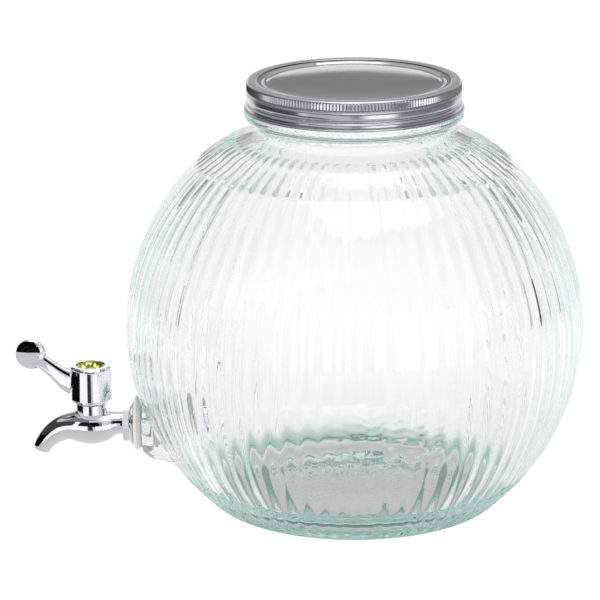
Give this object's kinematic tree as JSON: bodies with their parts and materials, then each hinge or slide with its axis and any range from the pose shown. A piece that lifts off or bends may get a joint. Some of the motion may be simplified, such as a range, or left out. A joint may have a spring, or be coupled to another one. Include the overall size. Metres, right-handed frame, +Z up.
{
  "type": "beverage dispenser",
  "caption": "Ribbed glass globe jar with a screwed metal lid and a lever-operated plug tap near its foot, for serving cold drinks.",
  "frame": {"origin": "centre of the flat underside of the glass, on the globe's axis", "axes": "+Z up along the axis of the globe, neck and lid; the tap points to -Y; +X completes a right-handed frame"},
  "size_m": [0.27, 0.3364, 0.2536],
  "materials": {
    "glass": "clear recycled glass with a pale green tint, glossy, softly rippled",
    "tin": "satin tinplate",
    "chrome": "mirror polished plating",
    "brass": "turned",
    "gold": "bright gold plating with facets",
    "silicone": "translucent white silicone",
    "nut_plastic": "moulded off-white plastic",
    "black_rubber": "matt rubber",
    "steel": "plain steel"
  },
  "bodies": {
    "vessel": {"glass_vessel": "glass", "tap_body": "chrome", "outer_washer": "silicone", "inner_washer": "silicone", "slip_washer": "nut_plastic", "shank_nut": "nut_plastic", "bonnet_nut": "brass"},
    "lid": {"lid_disc": "tin", "lid_gasket": "silicone"},
    "band": {"lid_band": "tin"},
    "handle": {"tap_handle": "chrome", "valve_plug": "brass", "plug_o_ring_upper": "black_rubber", "plug_o_ring_lower": "black_rubber", "thrust_washer": "nut_plastic", "spring_washer": "steel", "handle_screw": "steel", "handle_cap": "gold"}
  },
  "joints": [
    {"name": "lid_lift", "type": "slide", "parent": "vessel", "child": "lid", "axis": [0, 0, 1], "range_m": [0, 0.0181]},
    {"name": "lid_unscrew", "type": "hinge", "parent": "lid", "child": "band", "pos_m": [0, 0, 0.245], "axis": [0, 0, 1], "range_deg": [0, 1080]},
    {"name": "tap_turn", "type": "hinge", "parent": "vessel", "child": "handle", "pos_m": [0, -0.157, 0.06], "axis": [0, 0, 1], "range_deg": [-90, 90]}
  ],
  "couplings": [
    {"joint": "lid_lift", "follows": "lid_unscrew", "m_per_rad": 0.00095493}
  ]
}
